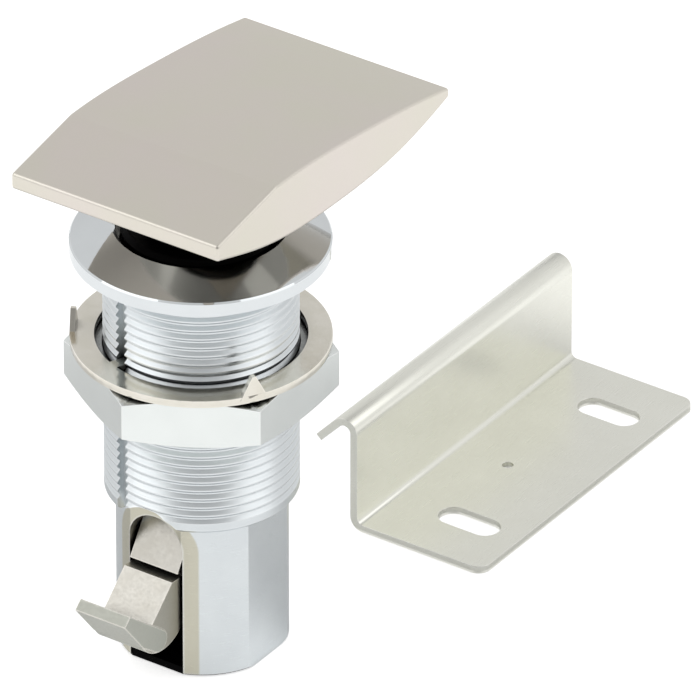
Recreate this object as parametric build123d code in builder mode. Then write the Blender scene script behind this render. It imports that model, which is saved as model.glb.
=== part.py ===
"""Flush cabinet latch: a pull handle on a sprung spindle, which swings a hooked pawl in a threaded barrel.

Millimetres. The origin is on the barrel's axis at the underside of the flange, which lies on the door.
+Z points out of the door to the user, +Y along the handle's long tail, and the pawl looks towards -Y.
"""

import os
from math import atan2, cos, degrees, radians, sin, sqrt, tan

from build123d import *

os.makedirs("parts", exist_ok=True)

# Running and assembly clearances
running_gap = 0.20        # radial gap of the sleeve in its bore
journal_gap = 0.06        # radial gap of the spindle in its bush, and of the pawl on its pin
seat_gap = 0.04           # radial gap of a piece that is held in a bore or on a rod
side_gap = 0.25           # gap beside the pawl, its tail and the fork
rest_gap = 0.05           # gap between pieces that only rest on each other
groove_play = 0.1         # how much wider a groove is than the ring in it
cut_over = 1.0            # how far a cutter reaches past what it cuts

# Housing
thread_radius = 15.0
thread_pitch = 1.5
thread_depth = 0.5
thread_crest = 0.15       # share of the pitch that is flat at the crest
thread_flank = 0.35       # share of the pitch that one flank takes, as does the other
thread_lead_in = 0.6      # chamfer at the end of the thread
barrel_wall = 2.8         # from the thread's crest to the sleeve
register_length = 2.5     # plain collar under the flange, which centres the latch in the door
thread_end = 41.9         # depth of the threaded part below the flange
housing_depth = 68.8      # depth of the foot below the flange
body_radius = 13.25
body_flat = 12.2          # distance of the spanner flats from the axis
flat_cut = 10.0           # width of what the flats' cutter takes away
foot_chamfer = 0.5
flange_overhang = 4.4     # how far the flange reaches past the thread
flange_thickness = 1.5
keyway_width = 2.2
keyway_depth = 1.5
keyway_angle = -110.0     # direction of the first keyway, the second lies opposite
web_top = 11.8            # depth of the web that carries the bush
web_thickness = 4.0
spring_bore_radius = 10.0
cage_bore_radius = 10.6
cage_shoulder = 38.8      # depth of the shoulder that the cage stands against
slot_width = 9.8
slot_top = 41.7           # depth of the crown of the slot's arch
spotface_margin = 2.4     # width of the milled band around the slot
spotface_y = 12.4         # distance of the milled band from the axis

# Rosette
rosette_gap = 0.8         # between the sleeve and the rosette's opening
rosette_rim = 2.1         # height of the rim above the door
rosette_rise = 2.6        # how much the cone climbs from rim to opening
rosette_sheet = 0.6
rosette_skirt = 0.1       # how far the rim stops above the door
rosette_edge = 0.25       # bevel on the rim
rosette_lip = 0.4         # how far the cone's top edge turns down to the opening

# Handle
handle_width = 38.0
handle_front = 22.5       # reach of the front edge from the axis
handle_back = 39.0        # reach of the back edge from the axis
front_edge_thickness = 2.6
back_edge_thickness = 1.5
front_edge_top = 17.9
back_edge_top = 15.5
ridge_y = -7.1
ridge_top = 20.8
belly_height = 9.9        # height of the lowest line of the belly
belly_y = 10.0
handle_edge_round = 0.6
handle_side_round = 0.48
slope_middle = 0.45       # share of the back slope at which its middle point lies
slope_drop = 1.45         # how far that point lies below the ridge
ridge_lean = 0.02         # slope of the top at the ridge
tail_lean = -0.22         # slope of the top at the back edge
belly_run = 15.0          # length of the nearly flat part of the belly
belly_rise = 0.75         # how much that part climbs
belly_front_rise = 1.2    # how much the belly has climbed under the ridge
tail_under_lean = -0.32   # slope of the underside at the back edge
front_under_lean = 0.32   # slope of the underside at the front edge
boss_overlap = 1.5        # how far the boss reaches up into the belly
boss_radius = 8.6
insert_radius = 5.0
insert_length = 6.0
insert_groove = 0.8       # size of the groove around the insert
stud_radius = 2.5

# Sleeve under the handle
sleeve_radius = thread_radius - barrel_wall
sleeve_top = 4.9
sleeve_length = 15.4
sleeve_wall = 3.2
sleeve_chamfer = 0.7
neck_height = 3.6
neck_flare = 0.4          # how much wider the neck is at its foot
ring_groove = 0.8
ring_height = 1.4
ring_drop = 4.5           # depth of the seal ring's groove below the sleeve's top
locknut_across = 9.0
locknut_height = 3.0

# Spindle, bush and spring
travel = 7.5              # stroke of the handle
spindle_radius = 3.5
bush_wall = 1.6
bush_flange_radius = 9.6
bush_flange_thickness = 1.5
clip_thickness = 1.0
clip_depth = 0.55         # how far a clip reaches into its groove
clip_width = 1.6
clip_mouth_share = 1.4    # how far a clip's mouth cuts in, against its radius
bush_clip_mouth = 4.0
spring_wire = 1.2
spring_radius = 5.7       # radius of the middle of the wire
spring_turns = 6
spring_length = 17.0      # length at rest
spindle_chamfer = 0.4
spindle_stud_end = 1.0    # how far the stud stops below the top of the insert's bore
seat_radius = 7.4
seat_thickness = 1.2
stop_thickness = 1.2
stop_inner_gap = 1.0      # around the bush
stop_outer_gap = 0.3      # to the bore

# Pawl and its drive
pawl_width = 8.9
pivot_y = -6.5
pivot_z = -45.3
pivot_pin_radius = 1.5
hub_radius = 2.7
hub_front_angle = 55.0    # where the pawl's front leaves the hub
hub_back_share = (0.35, 0.93)   # where its back leaves the hub, against the hub's radius
drive_pin_radius = 1.2
tail_thickness = 2.6
tail_slot_play = 0.25
tail_half_height = 2.6
tail_end_margin = 1.4     # metal of the tail beyond the drive pin
tail_slot_run = 0.5       # length of the straight part of the tail's slot
fork_end_margin = 2.4     # metal of the fork below the drive pin
fork_depth = 11.5         # length of the fork's gap above the drive pin

# Pawl outline seen from the side, as distance from the axis and depth below the flange
step_y, step_z = -13.0, -50.2
groove_y = -11.6
groove_roof_z, groove_floor_z = -50.4, -51.1
brow_y, brow_z = -14.4, -50.9
crotch_y, crotch_z = -19.8, -55.8
tip_y, tip_z = -25.7, -51.1
tip_outer_y, tip_outer_z = -27.2, -52.4
heel_front_y, heel_front_z = -22.4, -58.5
heel_y, heel_z = -17.4, -61.7
heel_back_y, heel_back_z = -12.0, -60.1
blade_proud = 0.2         # how far the tongue's blade stands out on both sides of the pawl
blade_run = 3.9           # how far the blade runs on past the crotch
blade_end_radius = 1.8

# Cage
cage_wall = 1.5
cage_back = 8.0           # outer face of the cage's back wall
cage_front = 8.3          # reach of the cage's side walls towards the slot
cage_inset = 3.1          # from the cage's lower end to the foot of the housing
pin_end_gap = 0.3         # how far the drive pin's ends lie inside the spindle
pawl_washer_gap = 0.1     # gap between the pawl and a washer beside it
pawl_washer_seat = 0.02   # gap between such a washer and the cage
pawl_washer_inset = 0.2   # how much smaller such a washer is than the hub

# Cap in the foot of the housing
cap_thickness = 1.2
cap_inset = 0.2           # how far the cap stops above the foot
cap_sill_reach = 12.1     # reach of its sill into the slot
cap_sill_gap = 0.1        # beside the sill

# Washer and nut
washer_radius = 20.0
washer_thickness = 1.2
washer_top = 14.9         # depth of the washer's upper face
washer_hole_gap = 1.3
tooth_count = 3
tooth_angle = -31.4
tooth_width = 4.5
tooth_height = 3.2
tooth_thickness = 0.9
tooth_tip = 0.3           # half width of a tooth's point
tab_play = 0.3            # how much narrower a tab is than its keyway
tab_gap = 0.2             # gap between a tab and the keyway's floor
tab_overlap = 1.0         # how far a tab's sketch stops inside the washer's rim
nut_across = 36.5
nut_height = 8.0
nut_gap = 0.25            # axial gap between washer and nut
nut_bore_gap = 0.10
nut_chamfer = 0.3         # how far the corner cone cuts into the flats' faces
nut_cone = 18.0           # slope of the corner cone in degrees

# Strike plate
strike_length = 60.0
strike_base = 24.8
strike_height = 19.6
strike_lip = 5.2          # straight length of the hooked lip
strike_lip_slope = 47.0   # how far the lip turns down below level
strike_sheet = 1.3
strike_bend = 1.0         # inner radius of the bend at the base
strike_crest = 1.1        # inner radius of the bend at the crest
strike_x = 2.0
strike_y = 37.0
strike_corner = 2.2
strike_slot_length = 10.8
strike_slot_width = 5.0
strike_slot_spacing = 39.0
strike_slot_from_wall = 15.3
strike_pilot_radius = 0.9
strike_pilot_from_wall = 11.0
strike_pilot_offset = -2.5

# Places that follow from the sizes above
thread_root = thread_radius - thread_depth
sleeve_bore = sleeve_radius + running_gap
flange_radius = thread_radius + flange_overhang
rosette_radius = flange_radius + rosette_sheet
rosette_opening = sleeve_radius + rosette_gap
web_bottom = web_top + web_thickness
bush_bore = spindle_radius + journal_gap
bush_radius = bush_bore + bush_wall
spring_top = web_bottom + bush_flange_thickness + rest_gap
spring_foot = spring_top + spring_length
drive_pin_z = pivot_z - travel / 2
tail_angle = -degrees(atan2(travel / 2, -pivot_y))
tail_reach = sqrt(pivot_y**2 + (travel / 2) ** 2)
spindle_foot = drive_pin_z - fork_end_margin
fork_top = drive_pin_z + fork_depth
sleeve_foot = sleeve_top - sleeve_length
fork_gap = tail_thickness + 2 * side_gap
cage_inner = pawl_width / 2 + side_gap * 2
cage_outer = cage_inner + cage_wall
nut_top = washer_top + washer_thickness + nut_gap
floor_z = -housing_depth
spotface_arch = slot_width / 2 + spotface_margin
cage_foot = housing_depth - cage_inset


def ring_solid(inner, outer, bottom, height):
    """A plain ring about the axis, made as a revolved rectangle."""
    with BuildPart() as ring:
        with BuildSketch(Plane.XZ):
            with Locations(((inner + outer) / 2, bottom + height / 2)):
                Rectangle(outer - inner, height)
        revolve(axis=Axis.Z)
    return ring


def finish(piece, name):
    """Names a finished piece and writes it out."""
    piece.part.label = name
    export_step(piece.part, f"parts/{name}.step")


# Housing: flange, threaded barrel and lower body in one casting
thread_turns = int((thread_end - register_length - thread_pitch) / thread_pitch)
thread_points = []
for turn in range(thread_turns):
    crest = -(register_length + turn * thread_pitch)
    thread_points += [
        (thread_radius, crest),
        (thread_radius, crest - thread_crest * thread_pitch),
        (thread_root, crest - (thread_crest + thread_flank) * thread_pitch),
        (thread_root, crest - (1 - thread_flank) * thread_pitch),
    ]
with BuildPart() as housing:
    with BuildSketch(Plane.XZ):
        with BuildLine():
            Polyline(
                (sleeve_bore, flange_thickness),
                (flange_radius, flange_thickness),
                (flange_radius, 0),
                (thread_radius, 0),
                *thread_points,
                (thread_radius, -register_length - thread_turns * thread_pitch),
                (thread_radius, -thread_end + thread_lead_in),
                (thread_radius - thread_lead_in, -thread_end),
                (body_radius, -thread_end),
                (body_radius, floor_z + foot_chamfer),
                (body_radius - foot_chamfer, floor_z),
                (cage_bore_radius, floor_z),
                (cage_bore_radius, -cage_shoulder),
                (spring_bore_radius, -cage_shoulder),
                (spring_bore_radius, -web_bottom),
                (bush_radius + seat_gap, -web_bottom),
                (bush_radius + seat_gap, -web_top),
                (sleeve_bore, -web_top),
                close=True,
            )
        make_face()
    revolve(axis=Axis.Z)
    # Spanner flats on both sides of the lower body
    with BuildSketch(Plane.XY.offset(floor_z)):
        with Locations((body_flat + flat_cut / 2, 0), (-body_flat - flat_cut / 2, 0)):
            Rectangle(flat_cut, 2 * body_radius)
    extrude(amount=housing_depth - thread_end, mode=Mode.SUBTRACT)
    # Milled band around the slot, then the slot itself, both with an arched top
    for half_width, depth, start in (
        (spotface_arch, thread_radius - spotface_y + cut_over, spotface_y),
        (slot_width / 2, thread_radius, spring_bore_radius / 2),
    ):
        crown = -slot_top + half_width - slot_width / 2
        with BuildSketch(Plane.XZ.offset(start)):
            with BuildLine():
                Polyline(
                    (-half_width, crown - half_width),
                    (-half_width, floor_z - cut_over),
                    (half_width, floor_z - cut_over),
                    (half_width, crown - half_width),
                )
                spring_line = crown - half_width
                ThreePointArc((half_width, spring_line), (0, crown), (-half_width, spring_line))
            make_face()
        extrude(amount=depth, mode=Mode.SUBTRACT)
    # Two keyways along the thread hold the washer's tabs
    for angle in (keyway_angle, keyway_angle + 180):
        with BuildSketch(Plane.XY.offset(-thread_end).rotated((0, 0, angle))):
            with Locations((thread_radius, 0)):
                Rectangle(2 * keyway_depth, keyway_width)
        extrude(amount=thread_end - register_length, mode=Mode.SUBTRACT)
    # Grooves for the bush circlip and the cage circlip
    for bore, depth in (
        (spring_bore_radius, web_bottom + bush_flange_thickness),
        (cage_bore_radius, cage_foot),
    ):
        with BuildSketch(Plane.XZ):
            with Locations((bore, -depth - clip_thickness / 2)):
                Rectangle(2 * (clip_depth + seat_gap), clip_thickness + groove_play)
        revolve(axis=Axis.Z, mode=Mode.SUBTRACT)
finish(housing, "housing")

# Rosette: pressed chrome ring with a rim turned down over the flange
cone_top = rosette_rim + rosette_rise
with BuildPart() as rosette:
    with BuildSketch(Plane.XZ):
        with BuildLine():
            Polyline(
                (rosette_radius, rosette_skirt),
                (rosette_radius, rosette_rim),
                (rosette_radius - rosette_edge, rosette_rim + rosette_edge),
                (rosette_opening + rosette_sheet, cone_top),
                (rosette_opening, cone_top - rosette_lip),
                (rosette_opening, flange_thickness),
                (rosette_opening + rosette_sheet, flange_thickness),
                (rosette_opening + rosette_sheet, cone_top - rosette_sheet),
                (flange_radius + rest_gap, rosette_rim + rosette_edge - rosette_sheet),
                (flange_radius + rest_gap, rosette_skirt),
                close=True,
            )
        make_face()
    revolve(axis=Axis.Z)
finish(rosette, "rosette")

# Handle: aerofoil block with a short front facet and a long back slope
front_bottom = front_edge_top - front_edge_thickness
back_bottom = back_edge_top - back_edge_thickness
with BuildPart() as handle:
    with BuildSketch(Plane.YZ.offset(-handle_width / 2)):
        with BuildLine():
            Line((-handle_front, front_bottom), (-handle_front, front_edge_top))
            Line((-handle_front, front_edge_top), (ridge_y, ridge_top))
            Spline(
                (ridge_y, ridge_top),
                ((ridge_y + handle_back) * slope_middle, ridge_top - slope_drop),
                (handle_back, back_edge_top),
                tangents=[(1, ridge_lean), (1, tail_lean)],
            )
            Line((handle_back, back_edge_top), (handle_back, back_bottom))
            Spline(
                (handle_back, back_bottom),
                (belly_y + belly_run, belly_height + belly_rise),
                (belly_y, belly_height),
                (ridge_y, belly_height + belly_front_rise),
                (-handle_front, front_bottom),
                tangents=[(-1, tail_under_lean), (-1, front_under_lean)],
            )
        make_face()
    extrude(amount=handle_width)
    fillet(handle.edges().filter_by(Axis.X), handle_edge_round)
    fillet(handle.faces().sort_by(Axis.X)[0].edges(), handle_side_round)
    fillet(handle.faces().sort_by(Axis.X)[-1].edges(), handle_side_round)
    # Boss under the belly, which seats on the sleeve's neck
    with BuildSketch(Plane.XY.offset(sleeve_top + neck_height)):
        Circle(boss_radius)
    extrude(amount=belly_height + boss_overlap - sleeve_top - neck_height)
    # Bore for the threaded insert
    with BuildSketch(Plane.XY.offset(sleeve_top + neck_height)):
        Circle(insert_radius + seat_gap)
    extrude(amount=insert_length + seat_gap, mode=Mode.SUBTRACT)
finish(handle, "handle")

# Threaded insert, pressed into the handle's boss
with BuildPart() as handle_insert:
    with BuildSketch(Plane.XY.offset(sleeve_top + neck_height)):
        Circle(insert_radius)
        Circle(stud_radius + seat_gap, mode=Mode.SUBTRACT)
    extrude(amount=insert_length - rest_gap)
    with BuildSketch(Plane.XZ):
        with Locations((insert_radius, sleeve_top + neck_height + insert_length / 2)):
            Rectangle(insert_groove, insert_groove)
    revolve(axis=Axis.Z, mode=Mode.SUBTRACT)
finish(handle_insert, "handle_insert")

# Sleeve: black plunger that guides the handle in the barrel
pocket_depth = locknut_height + clip_thickness
with BuildPart() as neck_sleeve:
    with BuildSketch(Plane.XZ):
        with BuildLine():
            Polyline(
                (stud_radius + seat_gap, sleeve_top + neck_height),
                (boss_radius, sleeve_top + neck_height),
                (boss_radius + neck_flare, sleeve_top),
                (sleeve_radius - sleeve_chamfer, sleeve_top),
                (sleeve_radius, sleeve_top - sleeve_chamfer),
                (sleeve_radius, sleeve_top - ring_drop),
                (sleeve_radius - ring_groove, sleeve_top - ring_drop),
                (sleeve_radius - ring_groove, sleeve_top - ring_drop - ring_height - groove_play),
                (sleeve_radius, sleeve_top - ring_drop - ring_height - groove_play),
                (sleeve_radius, sleeve_foot),
                (sleeve_radius - sleeve_wall, sleeve_foot),
                (sleeve_radius - sleeve_wall, sleeve_top - sleeve_wall - pocket_depth),
                (stud_radius + seat_gap, sleeve_top - sleeve_wall - pocket_depth),
                close=True,
            )
        make_face()
    revolve(axis=Axis.Z)
finish(neck_sleeve, "neck_sleeve")

# Seal ring in the sleeve's groove
sleeve_ring = ring_solid(
    sleeve_radius - ring_groove + seat_gap,
    sleeve_radius + running_gap / 2,
    sleeve_top - ring_drop - ring_height - groove_play / 2,
    ring_height,
)
finish(sleeve_ring, "sleeve_ring")

# Locknut that clamps the sleeve against the handle
locknut_top = sleeve_top - sleeve_wall - pocket_depth
with BuildPart() as spindle_locknut:
    with BuildSketch(Plane.XY.offset(locknut_top - locknut_height)):
        RegularPolygon(locknut_across / 2, 6, major_radius=False)
        Circle(stud_radius + seat_gap, mode=Mode.SUBTRACT)
    extrude(amount=locknut_height)
finish(spindle_locknut, "spindle_locknut")

# Spindle: stud at the top, plain journal, clip groove and fork
journal_top = locknut_top - locknut_height
clip_z = -spring_foot - seat_thickness - rest_gap
with BuildPart() as spindle:
    with BuildSketch(Plane.XY.offset(journal_top)):
        Circle(stud_radius)
    extrude(amount=sleeve_top + neck_height + insert_length - spindle_stud_end - journal_top)
    with BuildSketch(Plane.XY.offset(spindle_foot)):
        Circle(spindle_radius)
    extrude(amount=journal_top - spindle_foot)
    chamfer(spindle.faces().sort_by(Axis.Z)[0].edges(), spindle_chamfer)
    with BuildSketch(Plane.XZ):
        with Locations((spindle_radius, clip_z - clip_thickness / 2)):
            Rectangle(2 * clip_depth, clip_thickness + groove_play)
    revolve(axis=Axis.Z, mode=Mode.SUBTRACT)
    with BuildSketch(Plane.XY.offset(spindle_foot - cut_over)):
        Rectangle(fork_gap, 2 * (spindle_radius + cut_over))
    extrude(amount=fork_top - spindle_foot + cut_over, mode=Mode.SUBTRACT)
    with BuildSketch(Plane.YZ.offset(-spindle_radius)):
        with Locations((0, drive_pin_z)):
            Circle(drive_pin_radius + seat_gap)
    extrude(amount=2 * spindle_radius, mode=Mode.SUBTRACT)
finish(spindle, "spindle")

# Drive pin across the fork
drive_pin_length = 2 * (spindle_radius - pin_end_gap)
with BuildPart() as drive_pin:
    with BuildSketch(Plane.YZ.offset(-drive_pin_length / 2)):
        with Locations((0, drive_pin_z)):
            Circle(drive_pin_radius)
    extrude(amount=drive_pin_length)
finish(drive_pin, "drive_pin")

# Guide bush in the web, with its flange below
with BuildPart() as spindle_bush:
    with BuildSketch(Plane.XZ):
        with BuildLine():
            Polyline(
                (bush_bore, -web_top),
                (bush_radius, -web_top),
                (bush_radius, -web_bottom),
                (bush_flange_radius, -web_bottom),
                (bush_flange_radius, -web_bottom - bush_flange_thickness),
                (bush_bore, -web_bottom - bush_flange_thickness),
                close=True,
            )
        make_face()
    revolve(axis=Axis.Z)
finish(spindle_bush, "spindle_bush")


def retaining_ring(bore, depth, mouth):
    """A round internal circlip with a mouth of the given width, open towards the slot."""
    with BuildPart() as clip:
        with BuildSketch(Plane.XY.offset(-depth - clip_thickness)):
            Circle(bore + clip_depth)
            Circle(bore - clip_width, mode=Mode.SUBTRACT)
            with Locations((0, -bore)):
                Rectangle(mouth, clip_mouth_share * bore, mode=Mode.SUBTRACT)
        extrude(amount=clip_thickness)
    return clip


bush_circlip = retaining_ring(spring_bore_radius, web_bottom + bush_flange_thickness, bush_clip_mouth)
finish(bush_circlip, "bush_circlip")
cage_circlip = retaining_ring(cage_bore_radius, cage_foot, 2 * cage_outer)
finish(cage_circlip, "cage_circlip")

# Rubber washer that the sleeve comes to rest on
stop_washer = ring_solid(
    bush_radius + stop_inner_gap,
    sleeve_bore - stop_outer_gap,
    -web_top,
    stop_thickness,
)
finish(stop_washer, "stop_washer")

# Return spring between the bush and its seat on the spindle
with BuildPart() as return_spring:
    with BuildLine(Plane.XY.offset(-spring_foot + spring_wire / 2)):
        coil = Helix(
            pitch=(spring_length - spring_wire) / spring_turns,
            height=spring_length - spring_wire,
            radius=spring_radius,
        )
    with BuildSketch(Plane(origin=coil @ 0, z_dir=coil % 0)):
        Circle(spring_wire / 2)
    sweep(path=coil, is_frenet=True)
finish(return_spring, "return_spring")

# Spring seat on the spindle, and the clip that carries it
spring_seat = ring_solid(
    spindle_radius + seat_gap,
    seat_radius,
    -spring_foot - seat_thickness,
    seat_thickness,
)
finish(spring_seat, "spring_seat")
with BuildPart() as seat_clip:
    with BuildSketch(Plane.XY.offset(clip_z - clip_thickness)):
        Circle(spindle_radius + clip_width)
        Circle(spindle_radius - clip_depth + seat_gap, mode=Mode.SUBTRACT)
        with Locations((0, spindle_radius)):
            Rectangle(clip_mouth_share * spindle_radius, 2 * spindle_radius, mode=Mode.SUBTRACT)
    extrude(amount=clip_thickness)
finish(seat_clip, "seat_clip")

# Pawl: hub, block with a groove, and a tongue that turns up from the heel
front_y = pivot_y - hub_radius * sin(radians(hub_front_angle))
front_z = pivot_z + hub_radius * cos(radians(hub_front_angle))
back_y = pivot_y + hub_radius * hub_back_share[0]
back_z = pivot_z - hub_radius * hub_back_share[1]
blade_along = Vector(crotch_y - tip_y, crotch_z - tip_z).normalized()
blade_down = Vector(blade_along.Y, -blade_along.X)
blade_end = Vector(crotch_y, crotch_z) + blade_along * blade_run
blade_middle = blade_end + blade_down * blade_end_radius
blade_width = pawl_width + 2 * blade_proud
with BuildPart() as pawl:
    with BuildSketch(Plane.YZ.offset(-pawl_width / 2)):
        with BuildLine():
            Polyline(
                (front_y, front_z),
                (step_y, step_z),
                (groove_y, groove_roof_z),
                (groove_y, groove_floor_z),
                (brow_y, brow_z),
                (crotch_y, crotch_z),
                (tip_y, tip_z),
                (tip_outer_y, tip_outer_z),
                (heel_front_y, heel_front_z),
            )
            ThreePointArc(
                (heel_front_y, heel_front_z),
                (heel_y, heel_z),
                (heel_back_y, heel_back_z),
            )
            Polyline(
                (heel_back_y, heel_back_z),
                (back_y, back_z),
                (pivot_y, pivot_z),
                (front_y, front_z),
            )
        make_face()
    extrude(amount=pawl_width)
    with BuildSketch(Plane.YZ.offset(-pawl_width / 2)):
        with Locations((pivot_y, pivot_z)):
            Circle(hub_radius)
    extrude(amount=pawl_width)
    # Blade of the tongue, a little wider than the block, with a round end on the heel
    with BuildSketch(Plane.YZ.offset(-blade_width / 2)):
        with BuildLine():
            Line((tip_y, tip_z), blade_end)
            ThreePointArc(
                blade_end,
                blade_middle + blade_along * blade_end_radius,
                blade_middle + blade_down * blade_end_radius,
            )
            Polyline(
                blade_middle + blade_down * blade_end_radius,
                (heel_front_y, heel_front_z),
                (tip_outer_y, tip_outer_z),
                (tip_y, tip_z),
            )
        make_face()
    extrude(amount=blade_width)
    # Tail that reaches into the fork, with a slot for the drive pin
    tail_plane = Plane.YZ.offset(-tail_thickness / 2)
    tail_end = tail_reach + drive_pin_radius + tail_end_margin
    with BuildSketch(tail_plane):
        with Locations(Location((pivot_y, pivot_z, 0), tail_angle)):
            with Locations((tail_end / 2, 0)):
                Rectangle(tail_end, 2 * tail_half_height)
    extrude(amount=tail_thickness)
    with BuildSketch(Plane.YZ.offset(-pawl_width / 2)):
        with Locations(Location((pivot_y, pivot_z, 0), tail_angle)):
            with Locations(((tail_reach - pivot_y) / 2, 0)):
                SlotCenterToCenter(
                    tail_reach + pivot_y + tail_slot_run,
                    2 * (drive_pin_radius + tail_slot_play),
                )
    extrude(amount=pawl_width, mode=Mode.SUBTRACT)
    with BuildSketch(Plane.YZ.offset(-pawl_width / 2)):
        with Locations((pivot_y, pivot_z)):
            Circle(pivot_pin_radius + journal_gap)
    extrude(amount=pawl_width, mode=Mode.SUBTRACT)
finish(pawl, "pawl")

# Cage: folded channel that carries the pivot pin, open towards the slot
with BuildPart() as pawl_cage:
    with BuildSketch(Plane.XY.offset(-cage_foot)):
        with Locations((0, (cage_back - cage_front) / 2)):
            Rectangle(2 * cage_outer, cage_back + cage_front)
        with Locations((0, (cage_back - cage_wall - cage_front - cut_over) / 2)):
            Rectangle(2 * cage_inner, cage_back - cage_wall + cage_front + cut_over, mode=Mode.SUBTRACT)
    extrude(amount=cage_foot - cage_shoulder)
    with BuildSketch(Plane.YZ.offset(-cage_outer)):
        with Locations((pivot_y, pivot_z)):
            Circle(pivot_pin_radius + seat_gap)
    extrude(amount=2 * cage_outer, mode=Mode.SUBTRACT)
finish(pawl_cage, "pawl_cage")

# Pivot pin through both walls of the cage
with BuildPart() as pawl_pin:
    with BuildSketch(Plane.YZ.offset(-cage_outer)):
        with Locations((pivot_y, pivot_z)):
            Circle(pivot_pin_radius)
    extrude(amount=2 * cage_outer)
finish(pawl_pin, "pawl_pin")

# Thin washers beside the pawl on its pin
washer_room = cage_inner - pawl_width / 2
with BuildPart() as pawl_washers:
    for side in (-1, 1):
        start = pawl_width / 2 + pawl_washer_gap if side > 0 else -cage_inner + pawl_washer_seat
        with BuildSketch(Plane.YZ.offset(start)):
            with Locations((pivot_y, pivot_z)):
                Circle(hub_radius - pawl_washer_inset)
                Circle(pivot_pin_radius + seat_gap, mode=Mode.SUBTRACT)
        extrude(amount=washer_room - pawl_washer_gap - pawl_washer_seat)
finish(pawl_washers, "pawl_washers")

# Cap that closes the foot of the housing, with a sill between the slot's jaws
with BuildPart() as foot_cap:
    with BuildSketch(Plane.XY.offset(floor_z + cap_inset)):
        Circle(cage_bore_radius - seat_gap)
        with Locations((0, -cap_sill_reach / 2)):
            Rectangle(slot_width - 2 * cap_sill_gap, cap_sill_reach)
    extrude(amount=cap_thickness)
finish(foot_cap, "foot_cap")

# Toothed washer, keyed to the barrel by two tabs
tab_inner = thread_radius - keyway_depth + tab_gap
tab_outer = washer_radius - tab_overlap
with BuildPart() as toothed_washer:
    with BuildSketch(Plane.XY.offset(-washer_top - washer_thickness)):
        Circle(washer_radius)
        Circle(thread_radius + washer_hole_gap, mode=Mode.SUBTRACT)
        for angle in (keyway_angle, keyway_angle + 180):
            with Locations(Location((0, 0, 0), angle)):
                with Locations(((tab_inner + tab_outer) / 2, 0)):
                    Rectangle(tab_outer - tab_inner, keyway_width - tab_play)
    extrude(amount=washer_thickness)
    for tooth in range(tooth_count):
        angle = radians(tooth_angle + tooth * 360 / tooth_count)
        outward = Vector(cos(angle), sin(angle), 0)
        base = outward * (washer_radius - tooth_thickness)
        tooth_plane = Plane(
            origin=(base.X, base.Y, -washer_top - washer_thickness / 2),
            x_dir=(-outward.Y, outward.X, 0),
            z_dir=outward,
        )
        with BuildSketch(tooth_plane):
            with BuildLine():
                Polyline(
                    (-tooth_width / 2, 0),
                    (tooth_width / 2, 0),
                    (tooth_tip, washer_thickness / 2 + tooth_height),
                    (-tooth_tip, washer_thickness / 2 + tooth_height),
                    close=True,
                )
            make_face()
        extrude(amount=tooth_thickness - rest_gap)
finish(toothed_washer, "toothed_washer")

# Hex nut with corners turned down above and below
nut_corner = nut_across / sqrt(3)
with BuildPart() as hex_nut:
    with BuildSketch(Plane.XY.offset(-nut_top - nut_height)):
        RegularPolygon(nut_corner, 6, rotation=30)
        Circle(thread_radius + nut_bore_gap, mode=Mode.SUBTRACT)
    extrude(amount=nut_height)
    drop = (nut_corner - nut_across / 2 + nut_chamfer) * tan(radians(nut_cone))
    with BuildSketch(Plane.XZ):
        with BuildLine():
            Polyline(
                (0, -nut_top),
                (nut_across / 2 - nut_chamfer, -nut_top),
                (nut_corner, -nut_top - drop),
                (nut_corner, -nut_top - nut_height + drop),
                (nut_across / 2 - nut_chamfer, -nut_top - nut_height),
                (0, -nut_top - nut_height),
                close=True,
            )
        make_face()
    revolve(axis=Axis.Z, mode=Mode.INTERSECT)
finish(hex_nut, "hex_nut")

# Strike plate: base, wall and lip folded from one strip
strike_top = floor_z + strike_height
strike_middle = strike_y + strike_length / 2
wall_inside = strike_x + strike_sheet
crest_outer = strike_crest + strike_sheet
crest_x = wall_inside - crest_outer
crest_z = strike_top - crest_outer


def lip_point(radius, length):
    """A point on the lip: at a radius about the crest bend, and a length along the slope from its end."""
    slope = radians(strike_lip_slope)
    return (
        crest_x - radius * sin(slope) - length * cos(slope),
        crest_z + radius * cos(slope) - length * sin(slope),
    )


with BuildPart() as strike_plate:
    with BuildSketch(Plane.XZ.offset(-strike_y)):
        with BuildLine():
            Polyline(
                (strike_x, crest_z),
                (strike_x, floor_z),
                (strike_x + strike_base, floor_z),
                (strike_x + strike_base, floor_z + strike_sheet),
                (wall_inside, floor_z + strike_sheet),
                (wall_inside, crest_z),
            )
            ThreePointArc((wall_inside, crest_z), (crest_x, strike_top), lip_point(crest_outer, 0))
            Polyline(
                lip_point(crest_outer, 0),
                lip_point(crest_outer, strike_lip),
                lip_point(strike_crest, strike_lip),
                lip_point(strike_crest, 0),
            )
            ThreePointArc(
                lip_point(strike_crest, 0),
                (crest_x, strike_top - strike_sheet),
                (strike_x, crest_z),
            )
        make_face()
    extrude(amount=-strike_length)
    # Outside and inside of the bend at the base
    for corner_x, corner_z, radius in (
        (strike_x, floor_z, strike_bend + strike_sheet),
        (wall_inside, floor_z + strike_sheet, strike_bend),
    ):
        corner = (corner_x, strike_middle, corner_z)
        fillet(strike_plate.edges().filter_by(Axis.Y).sort_by_distance(corner)[0], radius)
    # Rounded corners on the base
    fillet(strike_plate.edges().filter_by(Axis.Z).group_by(Axis.X)[-1], strike_corner)
    # Two slots across the base, and a pilot hole between them
    with BuildSketch(Plane.XY.offset(floor_z)):
        with Locations((strike_x + strike_slot_from_wall, strike_middle)):
            with GridLocations(0, strike_slot_spacing, 1, 2):
                SlotOverall(strike_slot_length, strike_slot_width)
        with Locations((strike_x + strike_pilot_from_wall, strike_middle + strike_pilot_offset)):
            Circle(strike_pilot_radius)
    extrude(amount=strike_sheet, mode=Mode.SUBTRACT)
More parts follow.
